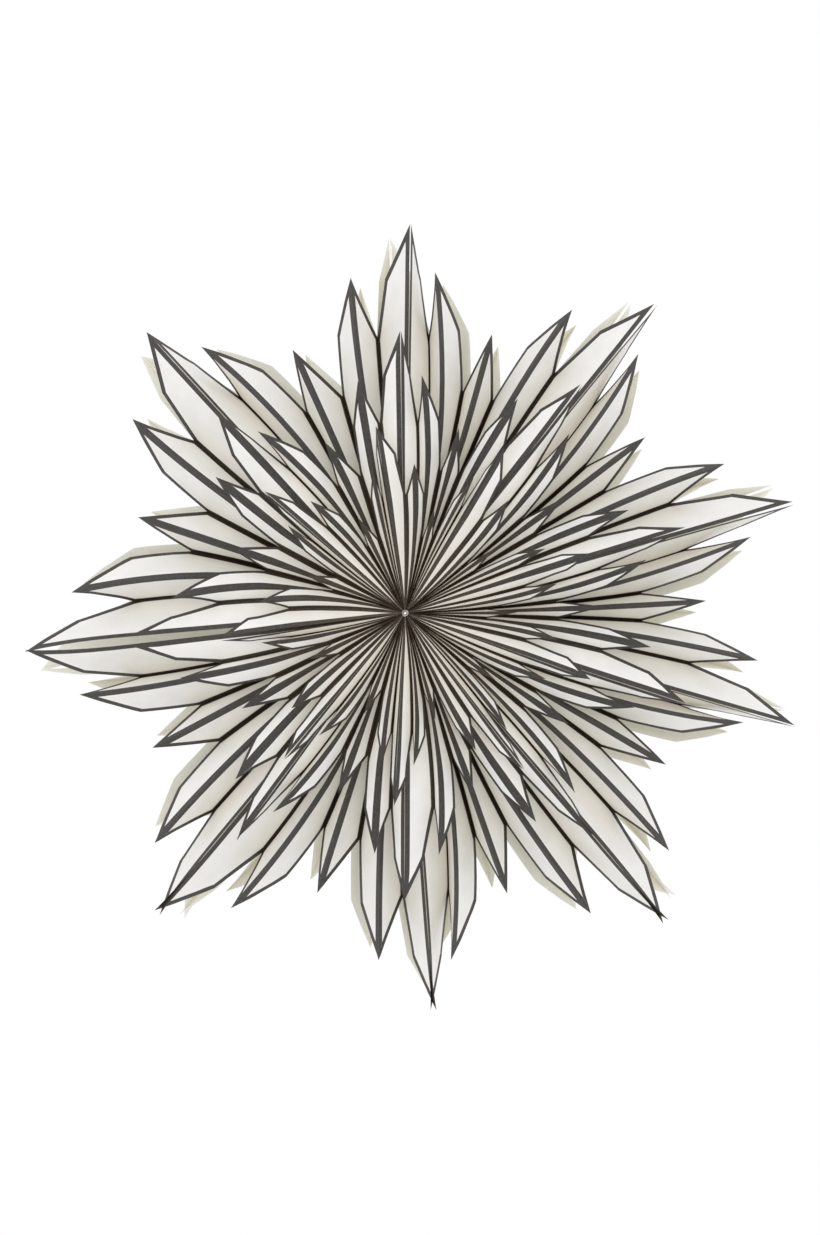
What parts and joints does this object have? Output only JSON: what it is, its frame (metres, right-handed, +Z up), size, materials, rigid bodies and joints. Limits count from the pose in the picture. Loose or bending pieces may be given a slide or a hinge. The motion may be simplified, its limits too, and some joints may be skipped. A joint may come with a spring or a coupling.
{
  "type": "paper snowflake star",
  "caption": "Round hanging star of pleated paper in three stepped tiers, front and back alike, that folds up round its axis like a fan.",
  "frame": {"origin": "on the star's axis, halfway between its front and its back", "axes": "+Y from the front to the back along the star's axis, so the front faces -Y; +Z up, with the star hanging from the eyelet in its closing seam; +X to the right as seen from the front"},
  "size_m": [0.5923, 0.157, 0.6021],
  "materials": {
    "paper": "matt white paper with a dark printed line along every edge",
    "core": "plain wound paper tube",
    "board": "matt white card",
    "magnet": "nickel plated",
    "eyelet": "nickel plated, satin"
  },
  "bodies": {
    "hub": {"core_tube": "core", "end_board_first": "board", "magnets_first": "magnet", "eyelet": "eyelet"},
    "fan_1": {"front_large_1": "paper", "front_medium_1": "paper", "front_small_1": "paper", "back_large_1": "paper", "back_medium_1": "paper", "back_small_1": "paper"},
    "fan_2": {"front_large_2": "paper", "front_medium_2": "paper", "front_small_2": "paper", "back_large_2": "paper", "back_medium_2": "paper", "back_small_2": "paper"},
    "fan_3": {"front_large_3": "paper", "front_medium_3": "paper", "front_small_3": "paper", "back_large_3": "paper", "back_medium_3": "paper", "back_small_3": "paper"},
    "fan_4": {"front_large_4": "paper", "front_medium_4": "paper", "front_small_4": "paper", "back_large_4": "paper", "back_medium_4": "paper", "back_small_4": "paper"},
    "fan_5": {"front_large_5": "paper", "front_medium_5": "paper", "front_small_5": "paper", "back_large_5": "paper", "back_medium_5": "paper", "back_small_5": "paper"},
    "fan_6": {"front_large_6": "paper", "front_medium_6": "paper", "front_small_6": "paper", "back_large_6": "paper", "back_medium_6": "paper", "back_small_6": "paper"},
    "fan_7": {"front_large_7": "paper", "front_medium_7": "paper", "front_small_7": "paper", "back_large_7": "paper", "back_medium_7": "paper", "back_small_7": "paper"},
    "fan_8": {"front_large_8": "paper", "front_medium_8": "paper", "front_small_8": "paper", "back_large_8": "paper", "back_medium_8": "paper", "back_small_8": "paper"},
    "fan_9": {"front_large_9": "paper", "front_medium_9": "paper", "front_small_9": "paper", "back_large_9": "paper", "back_medium_9": "paper", "back_small_9": "paper", "end_board_last": "board", "magnets_last": "magnet"}
  },
  "joints": [
    {"name": "fold_1", "type": "hinge", "parent": "hub", "child": "fan_1", "pos_m": [0, 0, 0], "axis": [0, 1, 0], "range_deg": [0, 42.7], "deforming": ["front_large_1", "front_medium_1", "front_small_1", "back_large_1", "back_medium_1", "back_small_1"]},
    {"name": "fold_2", "type": "hinge", "parent": "fan_1", "child": "fan_2", "pos_m": [0, 0, 0], "axis": [0, 1, 0], "range_deg": [0, 48.6], "deforming": ["front_large_2", "front_medium_2", "front_small_2", "back_large_2", "back_medium_2", "back_small_2"]},
    {"name": "fold_3", "type": "hinge", "parent": "fan_2", "child": "fan_3", "pos_m": [0, 0, 0], "axis": [0, 1, 0], "range_deg": [0, 43.2], "deforming": ["front_large_3", "front_medium_3", "front_small_3", "back_large_3", "back_medium_3", "back_small_3"]},
    {"name": "fold_4", "type": "hinge", "parent": "fan_3", "child": "fan_4", "pos_m": [0, 0, 0], "axis": [0, 1, 0], "range_deg": [0, 40.1], "deforming": ["front_large_4", "front_medium_4", "front_small_4", "back_large_4", "back_medium_4", "back_small_4"]},
    {"name": "fold_5", "type": "hinge", "parent": "fan_4", "child": "fan_5", "pos_m": [0, 0, 0], "axis": [0, 1, 0], "range_deg": [0, 36.4], "deforming": ["front_large_5", "front_medium_5", "front_small_5", "back_large_5", "back_medium_5", "back_small_5"]},
    {"name": "fold_6", "type": "hinge", "parent": "fan_5", "child": "fan_6", "pos_m": [0, 0, 0], "axis": [0, 1, 0], "range_deg": [0, 36.4], "deforming": ["front_large_6", "front_medium_6", "front_small_6", "back_large_6", "back_medium_6", "back_small_6"]},
    {"name": "fold_7", "type": "hinge", "parent": "fan_6", "child": "fan_7", "pos_m": [0, 0, 0], "axis": [0, 1, 0], "range_deg": [0, 31], "deforming": ["front_large_7", "front_medium_7", "front_small_7", "back_large_7", "back_medium_7", "back_small_7"]},
    {"name": "fold_8", "type": "hinge", "parent": "fan_7", "child": "fan_8", "pos_m": [0, 0, 0], "axis": [0, 1, 0], "range_deg": [0, 34.6], "deforming": ["front_large_8", "front_medium_8", "front_small_8", "back_large_8", "back_medium_8", "back_small_8"]},
    {"name": "fold_9", "type": "hinge", "parent": "fan_8", "child": "fan_9", "pos_m": [0, 0, 0], "axis": [0, 1, 0], "range_deg": [0, 36.2], "deforming": ["front_large_9", "front_medium_9", "front_small_9", "back_large_9", "back_medium_9", "back_small_9"]}
  ],
  "couplings": [
    {"joint": "fold_2", "follows": "fold_1", "ratio": 1.1382},
    {"joint": "fold_3", "follows": "fold_1", "ratio": 1.0117},
    {"joint": "fold_4", "follows": "fold_1", "ratio": 0.93911},
    {"joint": "fold_5", "follows": "fold_1", "ratio": 0.85245},
    {"joint": "fold_6", "follows": "fold_1", "ratio": 0.85245},
    {"joint": "fold_7", "follows": "fold_1", "ratio": 0.72599},
    {"joint": "fold_8", "follows": "fold_1", "ratio": 0.8103},
    {"joint": "fold_9", "follows": "fold_1", "ratio": 0.84777}
  ]
}
